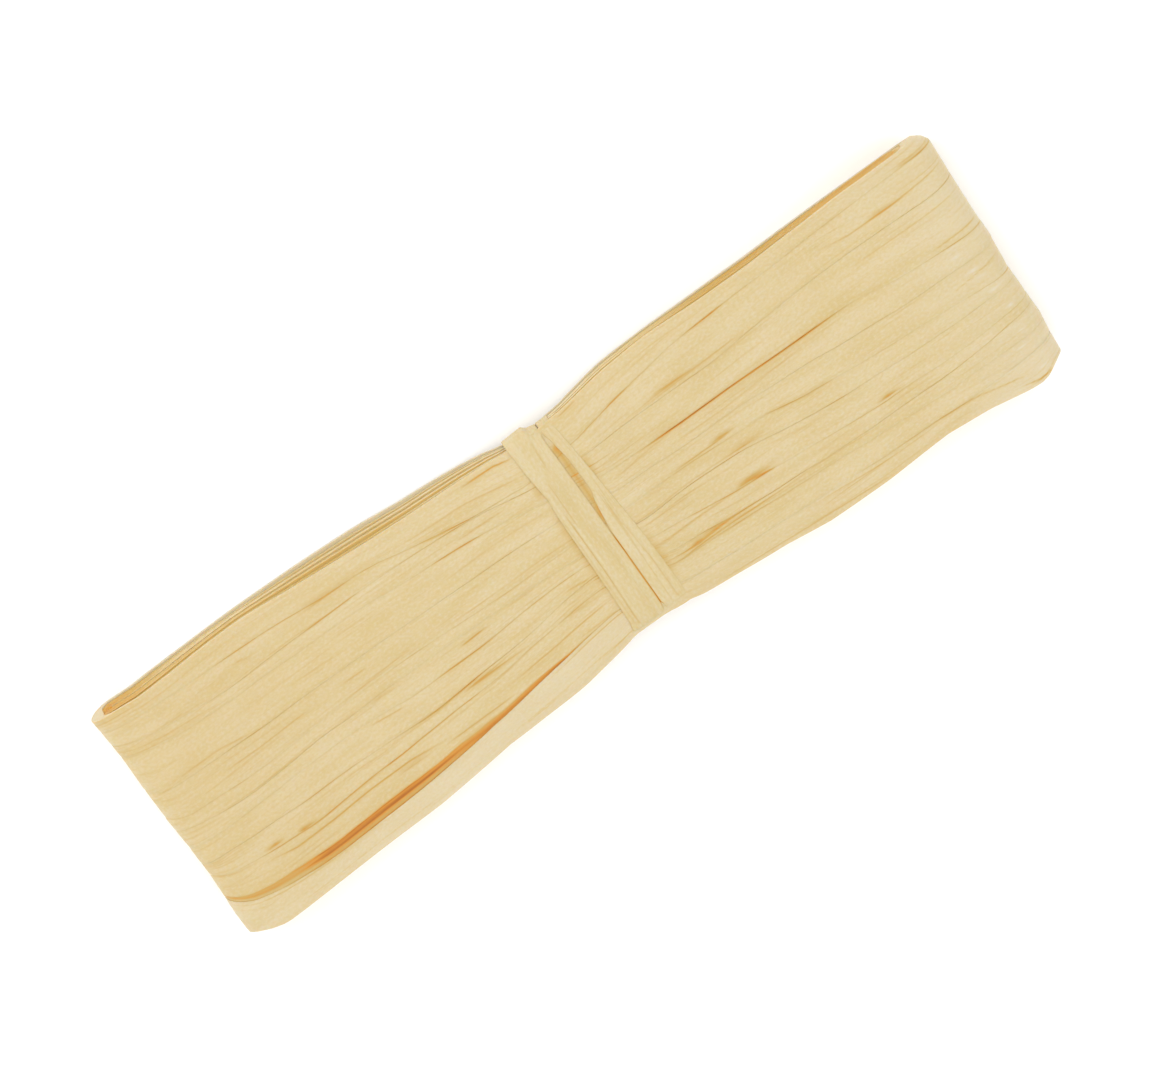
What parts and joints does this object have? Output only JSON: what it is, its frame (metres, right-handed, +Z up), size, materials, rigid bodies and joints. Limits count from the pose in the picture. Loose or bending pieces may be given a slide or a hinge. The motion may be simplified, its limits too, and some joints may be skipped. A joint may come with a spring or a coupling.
{
  "type": "bundle of raffia",
  "caption": "Flat bundle of raffia ribbon wound lengthwise over both ends and drawn in at the waist by a raffia tie.",
  "frame": {"origin": "middle of the footprint on the table", "axes": "+X along the bundle towards its wider end, +Y across it towards the edge with the broad side strand, +Z up"},
  "size_m": [0.26, 0.072, 0.014],
  "materials": {
    "raffia_outer": "dry leaf strip, creased along its length, faint satin sheen",
    "raffia_inner": "the same leaf strip, deeper and more orange where it lies inside the bundle",
    "raffia_tie": "dry leaf strip drawn tight, creased along its length"
  },
  "bodies": {
    "root": {"outer_strand_01": "raffia_outer", "outer_strand_02": "raffia_outer", "outer_strand_03": "raffia_outer", "outer_strand_04": "raffia_outer", "outer_strand_05": "raffia_outer", "outer_strand_06": "raffia_outer", "outer_strand_07": "raffia_outer", "outer_strand_08": "raffia_outer", "outer_strand_09": "raffia_outer", "outer_strand_10": "raffia_outer", "side_strand": "raffia_outer", "middle_strand_01": "raffia_inner", "middle_strand_02": "raffia_inner", "middle_strand_03": "raffia_inner", "middle_strand_04": "raffia_inner", "middle_strand_05": "raffia_inner", "middle_strand_06": "raffia_inner", "middle_strand_07": "raffia_inner", "middle_strand_08": "raffia_inner", "middle_strand_09": "raffia_inner", "middle_strand_10": "raffia_inner", "inner_strand_01": "raffia_inner", "inner_strand_02": "raffia_inner", "inner_strand_03": "raffia_inner", "inner_strand_04": "raffia_inner", "inner_strand_05": "raffia_inner", "inner_strand_06": "raffia_inner", "inner_strand_07": "raffia_inner", "inner_strand_08": "raffia_inner", "tie_strip": "raffia_tie"}
  },
  "joints": []
}
